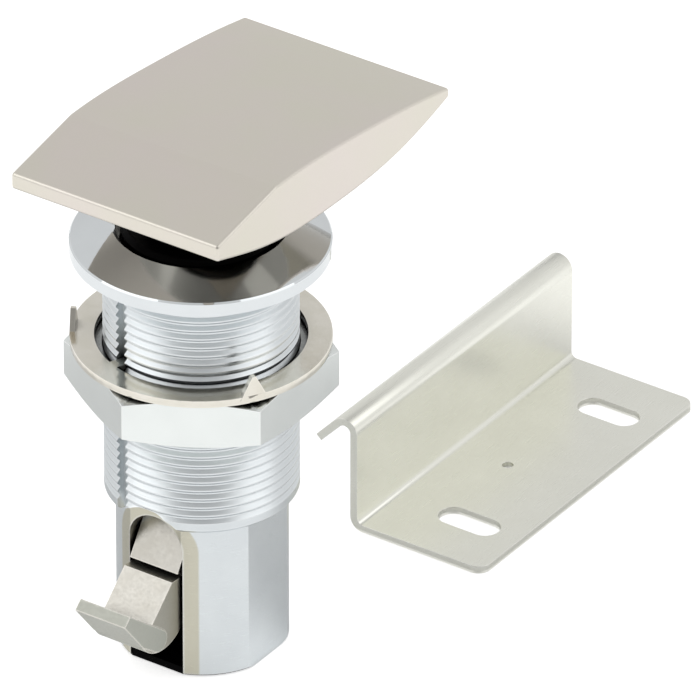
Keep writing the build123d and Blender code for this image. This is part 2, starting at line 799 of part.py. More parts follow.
finish(strike_plate, "strike_plate")
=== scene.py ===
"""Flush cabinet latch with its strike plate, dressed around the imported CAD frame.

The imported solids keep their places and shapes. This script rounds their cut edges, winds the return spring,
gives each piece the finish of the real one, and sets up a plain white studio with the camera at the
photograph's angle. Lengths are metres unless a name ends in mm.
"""

import logging
import math
from dataclasses import dataclass, field
from enum import Enum

import bpy
from mathutils import Matrix, Vector

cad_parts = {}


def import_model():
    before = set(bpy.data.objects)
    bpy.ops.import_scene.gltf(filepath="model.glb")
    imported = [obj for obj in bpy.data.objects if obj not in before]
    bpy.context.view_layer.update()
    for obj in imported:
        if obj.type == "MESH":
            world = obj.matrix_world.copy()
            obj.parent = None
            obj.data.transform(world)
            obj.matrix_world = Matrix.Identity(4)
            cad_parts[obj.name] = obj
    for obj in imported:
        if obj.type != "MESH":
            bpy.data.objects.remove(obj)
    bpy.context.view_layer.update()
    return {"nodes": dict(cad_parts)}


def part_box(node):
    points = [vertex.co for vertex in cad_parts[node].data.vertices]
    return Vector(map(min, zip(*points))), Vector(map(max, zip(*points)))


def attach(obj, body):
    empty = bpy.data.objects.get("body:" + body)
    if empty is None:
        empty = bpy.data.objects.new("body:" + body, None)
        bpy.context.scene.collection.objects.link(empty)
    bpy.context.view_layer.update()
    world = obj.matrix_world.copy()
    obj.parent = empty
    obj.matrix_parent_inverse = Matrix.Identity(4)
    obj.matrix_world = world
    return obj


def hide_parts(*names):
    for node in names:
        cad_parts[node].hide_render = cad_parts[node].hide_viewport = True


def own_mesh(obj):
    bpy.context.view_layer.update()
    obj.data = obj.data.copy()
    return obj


log = logging.getLogger("latch")

Tree = bpy.types.NodeTree
Socket = bpy.types.NodeSocket

MM = 0.001
FLOOR_Z = -68.8 * MM
# Colour of the painted shade in crevices
PAINTED_SHADE_COLOUR = "#161517"


def linear(hex_colour: str) -> tuple[float, float, float, float]:
    """Turns an sRGB hex colour into linear RGBA.

    Args:
        hex_colour: a colour such as "#C4BCB4".

    Returns:
        The colour's linear red, green and blue, with an alpha of 1.
    """
    channels = [int(hex_colour[i:i + 2], 16) / 255 for i in (1, 3, 5)]
    curve = [c / 12.92 if c <= 0.04045 else ((c + 0.055) / 1.055) ** 2.4 for c in channels]
    return (*curve, 1.0)


def per_mm(size_mm: float) -> float:
    """Gives the texture scale at which one feature is size_mm long."""
    return 1.0 / (size_mm * MM)


def toward(turn_deg: float, rise_deg: float = 0.0) -> Vector:
    """Gives the direction that lies turn_deg from -Y towards +X, and rise_deg above level.

    Args:
        turn_deg: the turn around Z.
        rise_deg: the rise above level.

    Returns:
        The direction, one unit long.
    """
    turn, rise = math.radians(turn_deg), math.radians(rise_deg)
    return Vector((math.sin(turn) * math.cos(rise), -math.cos(turn) * math.cos(rise), math.sin(rise)))


def add_node(
    tree: Tree, kind: str, settings: dict | None = None, inputs: dict | None = None
) -> bpy.types.Node:
    """Adds a node with its settings, socket values and links.

    Args:
        tree: the node tree that gets the node.
        kind: the node's type name.
        settings: property names and their values.
        inputs: socket names or numbers, each with a value or with the socket to link from.

    Returns:
        The new node.
    """
    node = tree.nodes.new(kind)
    for name, value in (settings or {}).items():
        setattr(node, name, value)
    for key, value in (inputs or {}).items():
        if isinstance(value, Socket):
            tree.links.new(value, node.inputs[key])
        else:
            node.inputs[key].default_value = value
    return node


class Grain(Enum):
    """How the surface was made, which sets the run of its fine marks."""

    BLASTED = "fine even grain of a blasted or moulded face"
    BRUSHED = "long fine lines along Y"
    TURNED = "fine rings around Z"
    TUMBLED = "soft dents and short scratches in all directions"


@dataclass(frozen=True)
class Finish:
    """One finish: its colour, gloss and fine marks, built as a node material."""

    name: str
    colour: str
    tone: str
    roughness: float
    metallic: float = 1.0
    grain: Grain = Grain.BLASTED
    grain_mm: float = 0.2
    depth_mm: float = 0.004
    spread: float = 0.06
    cloud_mm: float = 9.0
    cloud: float = 0.5
    cloud_band: tuple[float, float] = (0.35, 0.65)
    mark_band: tuple[float, float] = (0.3, 0.7)
    least_roughness: float = 0.02
    brushed_stretch: float = 0.03
    ring_drift_mm: float = 0.4
    # Painted highlight on the edges: its colour, width, share and band of normals
    edge_highlight: str = ""
    edge_highlight_mm: float = 0.5
    edge_highlight_share: float = 0.5
    edge_highlight_band: tuple[float, float] = (0.995, 0.90)
    ior: float = 1.5
    shine: float = 0.5
    # Painted shade in crevices, found by ambient occlusion: its share, reach and band
    crevice_shade: float = 0.0
    crevice_shade_mm: float = 2.5
    crevice_shade_from: float = 0.75
    crevice_shade_full: float = 0.15

    def clouded(self, tree: Tree, place: Socket) -> Socket:
        """Clouds the colour slowly, as handling and the batch leave plating or sheet.

        Args:
            tree: the material's node tree.
            place: the object coordinates.

        Returns:
            The socket with the clouded colour.
        """
        cloud = add_node(
            tree,
            "ShaderNodeTexNoise",
            inputs={"Vector": place, "Scale": per_mm(self.cloud_mm), "Detail": 3.0, "Roughness": 0.6},
        )
        low, high = self.cloud_band
        shade = add_node(
            tree,
            "ShaderNodeMapRange",
            inputs={"Value": cloud.outputs["Fac"], "From Min": low, "From Max": high, "To Max": self.cloud},
        )
        return add_node(
            tree,
            "ShaderNodeMix",
            {"data_type": "RGBA"},
            {0: shade.outputs["Result"], 6: linear(self.colour), 7: linear(self.tone)},
        ).outputs[2]

    def tint(self, tree: Tree, place: Socket, base: Socket) -> Socket:
        """Lets a finish change its colour in some places; the plain finish leaves it as it is."""
        return base

    def gloss_at(self, tree: Tree, gloss: Socket) -> Socket:
        """Lets a finish change its roughness in some places; the plain finish leaves it as it is."""
        return gloss

    def grain_vector(self, tree: Tree, place: Socket) -> Socket:
        """Bends the object's coordinates so that plain noise runs the way the marks do.

        Args:
            tree: the material's node tree.
            place: the object coordinates.

        Returns:
            The socket with the bent coordinates.
        """
        if self.grain is Grain.BRUSHED:
            stretch = (1.0, self.brushed_stretch, 1.0)
            lines = add_node(tree, "ShaderNodeMapping", inputs={"Vector": place, "Scale": stretch})
            return lines.outputs["Vector"]
        if self.grain is Grain.TURNED:
            split = add_node(tree, "ShaderNodeSeparateXYZ", inputs={"Vector": place}).outputs
            across = add_node(tree, "ShaderNodeCombineXYZ", inputs={"X": split["X"], "Y": split["Y"]})
            reach = add_node(
                tree, "ShaderNodeVectorMath", {"operation": "LENGTH"}, {0: across.outputs["Vector"]}
            )
            turn = add_node(tree, "ShaderNodeMath", {"operation": "ARCTAN2"}, {0: split["Y"], 1: split["X"]})
            slow = add_node(
                tree,
                "ShaderNodeMath",
                {"operation": "MULTIPLY"},
                {0: turn.outputs[0], 1: self.ring_drift_mm * MM},
            )
            rings = add_node(
                tree,
                "ShaderNodeCombineXYZ",
                inputs={"X": reach.outputs["Value"], "Y": slow.outputs[0], "Z": split["Z"]},
            )
            return rings.outputs["Vector"]
        return place

    def fine_marks(self, tree: Tree, place: Socket) -> Socket:
        """Draws the fine marks that the making of the face left.

        Args:
            tree: the material's node tree.
            place: the object coordinates.

        Returns:
            The socket with the height of the marks, from 0 to 1.
        """
        return add_node(
            tree,
            "ShaderNodeTexNoise",
            inputs={
                "Vector": self.grain_vector(tree, place),
                "Scale": per_mm(self.grain_mm),
                "Detail": 4.0,
                "Roughness": 0.65,
            },
        ).outputs["Fac"]

    def paint_edge_highlights(self, tree: Tree, base: Socket) -> Socket:
        """Paints highlights on the edges, where a rounded copy of the normal leaves the true one.

        Args:
            tree: the material's node tree.
            base: the colour of the faces.

        Returns:
            The socket with the colour of faces and edges.
        """
        soft = add_node(tree, "ShaderNodeBevel", {"samples": 4}, {"Radius": self.edge_highlight_mm * MM})
        true = add_node(tree, "ShaderNodeNewGeometry")
        along = add_node(
            tree,
            "ShaderNodeVectorMath",
            {"operation": "DOT_PRODUCT"},
            {0: soft.outputs[0], 1: true.outputs["Normal"]},
        )
        flat, sharp = self.edge_highlight_band
        highlight = add_node(
            tree,
            "ShaderNodeMapRange",
            inputs={
                "Value": along.outputs["Value"],
                "From Min": flat,
                "From Max": sharp,
                "To Max": self.edge_highlight_share,
            },
        )
        return add_node(
            tree,
            "ShaderNodeMix",
            {"data_type": "RGBA"},
            {0: highlight.outputs["Result"], 6: base, 7: linear(self.edge_highlight)},
        ).outputs[2]

    def paint_crevice_shade(self, tree: Tree, base: Socket) -> Socket:
        """Paints shade into crevices, darkening the colour where ambient occlusion finds them closed in.

        Args:
            tree: the material's node tree.
            base: the clean colour.

        Returns:
            The socket with the colour that has its painted shade.
        """
        open_share = add_node(
            tree, "ShaderNodeAmbientOcclusion", {"samples": 6}, {"Distance": self.crevice_shade_mm * MM}
        )
        closed = add_node(
            tree,
            "ShaderNodeMapRange",
            {"interpolation_type": "SMOOTHSTEP"},
            {
                "Value": open_share.outputs["AO"],
                "From Min": self.crevice_shade_from,
                "From Max": self.crevice_shade_full,
                "To Max": self.crevice_shade,
            },
        )
        return add_node(
            tree,
            "ShaderNodeMix",
            {"data_type": "RGBA"},
            {0: closed.outputs["Result"], 6: base, 7: linear(PAINTED_SHADE_COLOUR)},
        ).outputs[2]

    def material(self) -> bpy.types.Material:
        """Builds the finish as a Blender material, or returns the one built before.

        Returns:
            The material, named for the finish.
        """
        made = bpy.data.materials.get(self.name)
        if made is not None:
            return made
        made = bpy.data.materials.new(self.name)
        made.use_nodes = True
        tree = made.node_tree
        tree.nodes.clear()
        place = add_node(tree, "ShaderNodeTexCoord").outputs["Object"]
        base = self.tint(tree, place, self.clouded(tree, place))
        marks = self.fine_marks(tree, place)
        low, high = self.mark_band
        gloss = add_node(
            tree,
            "ShaderNodeMapRange",
            inputs={
                "Value": marks,
                "From Min": low,
                "From Max": high,
                "To Min": max(self.roughness - self.spread, self.least_roughness),
                "To Max": self.roughness + self.spread,
            },
        ).outputs["Result"]
        bump = add_node(
            tree,
            "ShaderNodeBump",
            inputs={"Strength": 1.0, "Distance": self.depth_mm * MM, "Height": marks},
        )
        # Painted highlights on the edges
        if self.edge_highlight:
            base = self.paint_edge_highlights(tree, base)
        # Painted shade in the crevices
        if self.crevice_shade:
            base = self.paint_crevice_shade(tree, base)
        shader = add_node(
            tree,
            "ShaderNodeBsdfPrincipled",
            inputs={
                "Base Color": base,
                "Metallic": self.metallic,
                "Roughness": self.gloss_at(tree, gloss),
                "Normal": bump.outputs["Normal"],
            },
        )
        if self.metallic < 1:
            shader.inputs["IOR"].default_value = self.ior
            shader.inputs["Specular IOR Level"].default_value = self.shine
        add_node(tree, "ShaderNodeOutputMaterial", inputs={"Surface": shader.outputs["BSDF"]})
        return made


@dataclass(frozen=True)
class HandlePlate(Finish):
    """Satin nickel that is left smooth underneath, where no hand sees it, with painted shade on the faces that
    look down.
    """

    # Painted shade on the faces that look down
    underside_shade: str = "#A9A298"
    under_roughness: float = 0.12
    under_band: tuple[float, float] = (-0.55, -0.8)

    def facing_down(self, tree: Tree) -> Socket:
        """Finds the faces that look down, from the object's own normal.

        Args:
            tree: the material's node tree.

        Returns:
            The socket that is 1 on the underside and 0 elsewhere.
        """
        normal = add_node(tree, "ShaderNodeTexCoord").outputs["Normal"]
        height = add_node(tree, "ShaderNodeSeparateXYZ", inputs={"Vector": normal}).outputs["Z"]
        side, down = self.under_band
        return add_node(
            tree, "ShaderNodeMapRange", inputs={"Value": height, "From Min": side, "From Max": down}
        ).outputs["Result"]

    def tint(self, tree: Tree, place: Socket, base: Socket) -> Socket:
        """Paints shade on the underside.

        Args:
            tree: the material's node tree.
            place: the object coordinates, not used.
            base: the plated colour.

        Returns:
            The socket with the plated colour, or the painted shade underneath.
        """
        return add_node(
            tree,
            "ShaderNodeMix",
            {"data_type": "RGBA"},
            {0: self.facing_down(tree), 6: base, 7: linear(self.underside_shade)},
        ).outputs[2]

    def gloss_at(self, tree: Tree, gloss: Socket) -> Socket:
        """Makes the underside smoother than the blasted faces.

        Args:
            tree: the material's node tree.
            gloss: the roughness of the blasted faces.

        Returns:
            The socket with the roughness of each face.
        """
        return add_node(
            tree,
            "ShaderNodeMix",
            {"data_type": "FLOAT"},
            {0: self.facing_down(tree), 2: gloss, 3: self.under_roughness},
        ).outputs[0]


@dataclass(frozen=True)
class PawlSteel(Finish):
    """Tumbled steel with painted shade on its flanks, and a greyer tongue and blade."""

    # Grey of the tongue and of the blade's sides
    tongue_grey: str = "#B0B1A8"
    # Painted shade on the flanks that face along X
    flank_shade: str = "#A8A59B"
    flank_shade_band: tuple[float, float] = (0.75, 0.95)
    tongue_mm: float = -20.4
    tongue_soft_mm: float = 0.5
    block_half_mm: float = 4.5

    def on_flank(self, tree: Tree) -> Socket:
        """Finds the flat sides, from the object's own normal.

        Args:
            tree: the material's node tree.

        Returns:
            The socket that is 1 on the flanks and 0 elsewhere.
        """
        normal = add_node(tree, "ShaderNodeTexCoord").outputs["Normal"]
        across = add_node(tree, "ShaderNodeSeparateXYZ", inputs={"Vector": normal}).outputs["X"]
        sideways = add_node(tree, "ShaderNodeMath", {"operation": "ABSOLUTE"}, {0: across})
        low, high = self.flank_shade_band
        return add_node(
            tree,
            "ShaderNodeMapRange",
            inputs={"Value": sideways.outputs[0], "From Min": low, "From Max": high},
        ).outputs["Result"]

    def on_tongue(self, tree: Tree, place: Socket) -> Socket:
        """Finds the tongue, and the blade's sides that stand out beside the block.

        Args:
            tree: the material's node tree.
            place: the object coordinates.

        Returns:
            The socket that is 1 on tongue and blade and 0 elsewhere.
        """
        split = add_node(tree, "ShaderNodeSeparateXYZ", inputs={"Vector": place}).outputs
        ahead = add_node(
            tree,
            "ShaderNodeMapRange",
            {"interpolation_type": "SMOOTHSTEP"},
            {
                "Value": split["Y"],
                "From Min": self.tongue_mm * MM,
                "From Max": (self.tongue_mm - self.tongue_soft_mm) * MM,
            },
        )
        aside = add_node(tree, "ShaderNodeMath", {"operation": "ABSOLUTE"}, {0: split["X"]})
        proud = add_node(
            tree,
            "ShaderNodeMath",
            {"operation": "GREATER_THAN"},
            {0: aside.outputs[0], 1: self.block_half_mm * MM},
        )
        return add_node(
            tree,
            "ShaderNodeMath",
            {"operation": "MAXIMUM"},
            {0: ahead.outputs["Result"], 1: proud.outputs[0]},
        ).outputs[0]

    def tint(self, tree: Tree, place: Socket, base: Socket) -> Socket:
        """Paints shade on the flanks, and greys the tongue and the blade.

        Args:
            tree: the material's node tree.
            place: the object coordinates.
            base: the tumbled colour.

        Returns:
            The socket with the tumbled, dull or rubbed colour.
        """
        for share, colour in ((self.on_flank(tree), self.flank_shade), (self.on_tongue(tree, place), self.tongue_grey)):
            base = add_node(
                tree, "ShaderNodeMix", {"data_type": "RGBA"}, {0: share, 6: base, 7: linear(colour)}
            ).outputs[2]
        return base


@dataclass(frozen=True)
class CastChrome(Finish):
    """Satin chrome on a zinc casting, with the warm bare metal where the band around the slot was milled."""

    bare: str = "#CBC8B8"
    band_front_mm: float = -10.5
    band_half_mm: float = 7.3
    band_arch_mm: float = -46.6
    band_soft_mm: float = 0.35

    def tint(self, tree: Tree, place: Socket, base: Socket) -> Socket:
        """Shows bare zinc on the arched band around the slot.

        Args:
            tree: the material's node tree.
            place: the object coordinates.
            base: the plated colour.

        Returns:
            The socket with the plated or bare colour.
        """
        split = add_node(tree, "ShaderNodeSeparateXYZ", inputs={"Vector": place}).outputs
        front = add_node(
            tree, "ShaderNodeMath", {"operation": "LESS_THAN"}, {0: split["Y"], 1: self.band_front_mm * MM}
        )
        # Above the arch's spring line the band is round, and below it straight
        rise = add_node(
            tree, "ShaderNodeMath", {"operation": "SUBTRACT"}, {0: split["Z"], 1: self.band_arch_mm * MM}
        )
        above = add_node(tree, "ShaderNodeMath", {"operation": "MAXIMUM"}, {0: rise.outputs[0], 1: 0.0})
        flat = add_node(tree, "ShaderNodeCombineXYZ", inputs={"X": split["X"], "Y": above.outputs[0]})
        reach = add_node(tree, "ShaderNodeVectorMath", {"operation": "LENGTH"}, {0: flat.outputs["Vector"]})
        inside = add_node(
            tree,
            "ShaderNodeMapRange",
            {"interpolation_type": "SMOOTHSTEP"},
            {
                "Value": reach.outputs["Value"],
                "From Min": self.band_half_mm * MM,
                "From Max": (self.band_half_mm - self.band_soft_mm) * MM,
            },
        )
        share = add_node(
            tree,
            "ShaderNodeMath",
            {"operation": "MULTIPLY"},
            {0: front.outputs[0], 1: inside.outputs["Result"]},
        )
        return add_node(
            tree,
            "ShaderNodeMix",
            {"data_type": "RGBA"},
            {0: share.outputs[0], 6: base, 7: linear(self.bare)},
        ).outputs[2]


# Real blasting and turning marks are about 0.05 mm, too fine to show, so they are drawn at 0.12 mm or more

# Satin nickel on a blasted casting: warm grey with a soft even sheen, painted highlights on its edges and
# painted shade on its underside
SATIN_NICKEL = HandlePlate(
    "satin_nickel_plate", "#E5DDD6", "#E3DFD2", 0.34,
    grain_mm=0.12, depth_mm=0.002, cloud_mm=26.0, cloud=1.0, edge_highlight="#FBF6EE",
)
# Polished chrome: a near mirror that takes its bands from the handle's belly, the neck and the room
POLISHED_CHROME = Finish(
    "polished_chrome_plate", "#E4E8EA", "#DCE0E2", 0.05, grain_mm=0.4, depth_mm=0.0005, spread=0.02
)
# Satin chrome on a turned casting: cool and pale, with faint rings, painted highlights on its edges and painted
# shade in its thread roots
CAST_CHROME = CastChrome(
    "satin_chrome_on_zinc", "#DFE4E6", "#D6DBDE", 0.31,
    grain=Grain.TURNED, grain_mm=0.12, depth_mm=0.002, spread=0.05, edge_highlight="#FAFCFD",
    crevice_shade=0.9, crevice_shade_mm=2.4, crevice_shade_from=0.48,
)
# Bright nickel on a turned nut: whiter and a little sharper than the barrel, with painted highlights on its
# edges and painted shade in its crevices
BRIGHT_NICKEL = Finish(
    "bright_nickel_plate", "#EEF2F0", "#E6EAE8", 0.2,
    grain=Grain.TURNED, grain_mm=0.15, depth_mm=0.002, spread=0.05, edge_highlight="#FDFDFC",
    crevice_shade=0.97, crevice_shade_mm=5.0, crevice_shade_from=0.7,
)
# Zinc plate on stamped sheet: greenish grey, blotchy at a few millimetres, with tumbling marks, painted
# highlights on its edges and painted shade in its crevices
ZINC_SHEET = Finish(
    "zinc_plated_sheet", "#EAE6DC", "#DCD8CA", 0.16,
    grain=Grain.TUMBLED, grain_mm=0.35, depth_mm=0.004, spread=0.08, cloud_mm=4.0, edge_highlight="#F8F5EC",
    crevice_shade=0.92, crevice_shade_mm=6.0,
)
# Tumbled steel: soft-edged, warm and light, with fine dents that break its gloss, painted highlights on its
# edges, and painted shade on its flanks and in its crevices
TUMBLED_STEEL = PawlSteel(
    "tumbled_steel", "#D3D0C8", "#C6C2B8", 0.36,
    grain=Grain.TUMBLED, grain_mm=0.5, depth_mm=0.006, spread=0.08, cloud_mm=3.5, edge_highlight="#F8F4EC",
    crevice_shade=0.95, crevice_shade_mm=5.0, edge_highlight_share=0.9, edge_highlight_mm=0.35,
)
# Brushed stainless sheet: pale, with long fine lines along the fold, and painted highlights on its edges
STAINLESS_SHEET = Finish(
    "brushed_stainless_sheet", "#F6F6ED", "#EEEEE4", 0.3,
    grain=Grain.BRUSHED, grain_mm=0.15, depth_mm=0.0008, spread=0.05, cloud_mm=12.0, edge_highlight="#FEFDF8",
)
# Turned steel: plain grey rod with rings from the lathe
TURNED_STEEL = Finish(
    "turned_steel", "#C4C4C4", "#BDBDBD", 0.25, grain=Grain.TURNED, grain_mm=0.12, depth_mm=0.002
)
# Oiled spring wire: dark drawn steel with a wet gloss
SPRING_WIRE = Finish("oiled_spring_wire", "#8F9093", "#7C7D80", 0.3, grain_mm=0.3, depth_mm=0.003)
# Sintered bronze: dull gold with open pores
SINTERED_BRONZE = Finish("sintered_bronze", "#C39A63", "#B58B55", 0.4, grain_mm=0.12, depth_mm=0.004)
# Black phosphate on steel sheet: near black, dull, with a dry fine grain
BLACK_PHOSPHATE = Finish(
    "black_phosphate_sheet", "#08080A", "#0D0D0E", 0.6, metallic=0.0, grain_mm=0.2, depth_mm=0.004, shine=0.1
)
# Moulded acetal: deep black with a waxy gloss
MOULDED_ACETAL = Finish(
    "moulded_acetal", "#040405", "#060607", 0.34,
    metallic=0.0, grain_mm=0.25, depth_mm=0.003, ior=1.48, shine=0.03,
)
# Seal rubber: dark grey-black and matt
SEAL_RUBBER = Finish(
    "seal_rubber", "#17181A", "#1D1E20", 0.62, metallic=0.0, grain_mm=0.2, depth_mm=0.004, ior=1.52
)


@dataclass
class SubAssembly:
    """Some CAD nodes that belong together, with the finish and edge rounding of each."""

    finishes: dict[str, Finish] = field(default_factory=dict)
    rounded: dict[str, float] = field(default_factory=dict)
    weld_mm: float = 0.001
    flat_deg: float = 0.4
    sharp_deg: float = 28.0

    def dress(self, nodes: dict) -> None:
        """Gives each node its finish, and rounds the cut edges of those that have them.

        Args:
            nodes: the frame's nodes by name.
        """
        for name, finish in self.finishes.items():
            node = nodes[name]
            node.data.materials.clear()
            node.data.materials.append(finish.material())
            if name in self.rounded:
                self.round_edges(node, self.rounded[name])
            log.info("%s: %s", name, finish.name)

    def round_edges(self, node: bpy.types.Object, radius_mm: float) -> None:
        """Breaks a node's sharp edges with live modifiers, so its own mesh stays as packed.

        Args:
            node: the CAD node.
            radius_mm: the width of the rounding.
        """
        join = node.modifiers.new("join", "WELD")
        join.merge_threshold = self.weld_mm * MM
        flat = node.modifiers.new("flat", "DECIMATE")
        flat.decimate_type = "DISSOLVE"
        flat.angle_limit = math.radians(self.flat_deg)
        edges = node.modifiers.new("edges", "BEVEL")
        edges.width = radius_mm * MM
        edges.segments = 2
        edges.limit_method = "ANGLE"
        edges.angle_limit = math.radians(self.sharp_deg)
        edges.use_clamp_overlap = True
        edges.harden_normals = True

    def add_pieces(self) -> None:
        """Adds the unit's own meshes; most units have only their CAD nodes."""


@dataclass
class HandleUnit(SubAssembly):
    """The handle with its insert, the sleeve under it, and the spindle that runs down the barrel."""

    finishes: dict[str, Finish] = field(
        default_factory=lambda: {
            "handle": SATIN_NICKEL,
            "handle_insert": SINTERED_BRONZE,
            "neck_sleeve": MOULDED_ACETAL,
            "sleeve_ring": SEAL_RUBBER,
            "spindle_locknut": TURNED_STEEL,
            "spindle": TURNED_STEEL,
            "spring_seat": TURNED_STEEL,
            "seat_clip": SPRING_WIRE,
            "drive_pin": TURNED_STEEL,
        }
    )


@dataclass
class BarrelUnit(SubAssembly):
    """The threaded barrel with its rosette, and what is fixed inside it."""

    finishes: dict[str, Finish] = field(
        default_factory=lambda: {
            "housing": CAST_CHROME,
            "rosette": POLISHED_CHROME,
            "spindle_bush": SINTERED_BRONZE,
            "bush_circlip": SPRING_WIRE,
            "cage_circlip": SPRING_WIRE,
            "stop_washer": SEAL_RUBBER,
            "foot_cap": MOULDED_ACETAL,
        }
    )
    wire_mm: float = 1.2
    wire_sides: int = 12
    turns: int = 6
    steps_per_turn: int = 36
    stroke_mm: float = 7.5

    def wind_wire(self, radius: float, bottom: float, top: float) -> bpy.types.Mesh:
        """Makes the coil's mesh ring by ring, so that its points and faces have the same order in each run.

        Args:
            radius: the coil's outer radius.
            bottom: the height of its lower end.
            top: the height of its upper end.

        Returns:
            The closed wire, its faces outward.
        """
        wire = self.wire_mm / 2 * MM
        sides = self.wire_sides
        steps = self.turns * self.steps_per_turn
        climb = (top - bottom - 2 * wire) / steps
        angles = [side * math.tau / sides for side in range(sides)]
        corners = [Vector((math.cos(angle), 0.0, math.sin(angle))) * wire for angle in angles]
        points = []
        for step in range(steps + 1):
            turned = Matrix.Rotation(step * math.tau / self.steps_per_turn, 3, "Z")
            centre = Vector((radius - wire, 0.0, bottom + wire + step * climb))
            points += [turned @ (centre + corner) for corner in corners]
        faces = [tuple(range(sides)), tuple(reversed(range(steps * sides, (steps + 1) * sides)))]
        for first in range(0, steps * sides, sides):
            for side in range(sides):
                here, beside = first + side, first + (side + 1) % sides
                faces.append((here + sides, beside + sides, beside, here))
        mesh = bpy.data.meshes.new("return_spring_coil")
        mesh.from_pydata(points, [], faces)
        return mesh

    def add_pieces(self) -> None:
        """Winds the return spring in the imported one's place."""
        low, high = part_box("return_spring")
        mesh = self.wind_wire(high[0], low[2], high[2])
        mesh.shade_smooth()
        mesh.materials.append(SPRING_WIRE.material())
        piece = bpy.data.objects.new("return_spring_coil", mesh)
        bpy.context.scene.collection.objects.link(piece)
        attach(piece, "housing_body")
        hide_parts("return_spring")
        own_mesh(piece)
        log.info("%s: %s", piece.name, SPRING_WIRE.name)


@dataclass
class PawlUnit(SubAssembly):
    """The hooked pawl on its pin, in the folded cage."""

    finishes: dict[str, Finish] = field(
        default_factory=lambda: {
            "pawl": TUMBLED_STEEL,
            "pawl_cage": BLACK_PHOSPHATE,
            "pawl_pin": TURNED_STEEL,
            "pawl_washers": SINTERED_BRONZE,
        }
    )
    rounded: dict[str, float] = field(default_factory=lambda: {"pawl": 0.18})


@dataclass
class ClampUnit(SubAssembly):
    """The toothed washer and the hex nut that clamp the latch to the door."""

    finishes: dict[str, Finish] = field(
        default_factory=lambda: {"toothed_washer": ZINC_SHEET, "hex_nut": BRIGHT_NICKEL}
    )
    rounded: dict[str, float] = field(default_factory=lambda: {"toothed_washer": 0.12, "hex_nut": 0.18})


@dataclass
class StrikeUnit(SubAssembly):
    """The folded strike plate."""

    finishes: dict[str, Finish] = field(default_factory=lambda: {"strike_plate": STAINLESS_SHEET})
    rounded: dict[str, float] = field(default_factory=lambda: {"strike_plate": 0.15})


@dataclass(frozen=True)
class Panel:
    """A large soft light panel, placed by its turn from the camera and its rise above level."""

    name: str
    turn_deg: float
    rise_deg: float
    power: float
    size: float = 0.5
    distance: float = 0.8


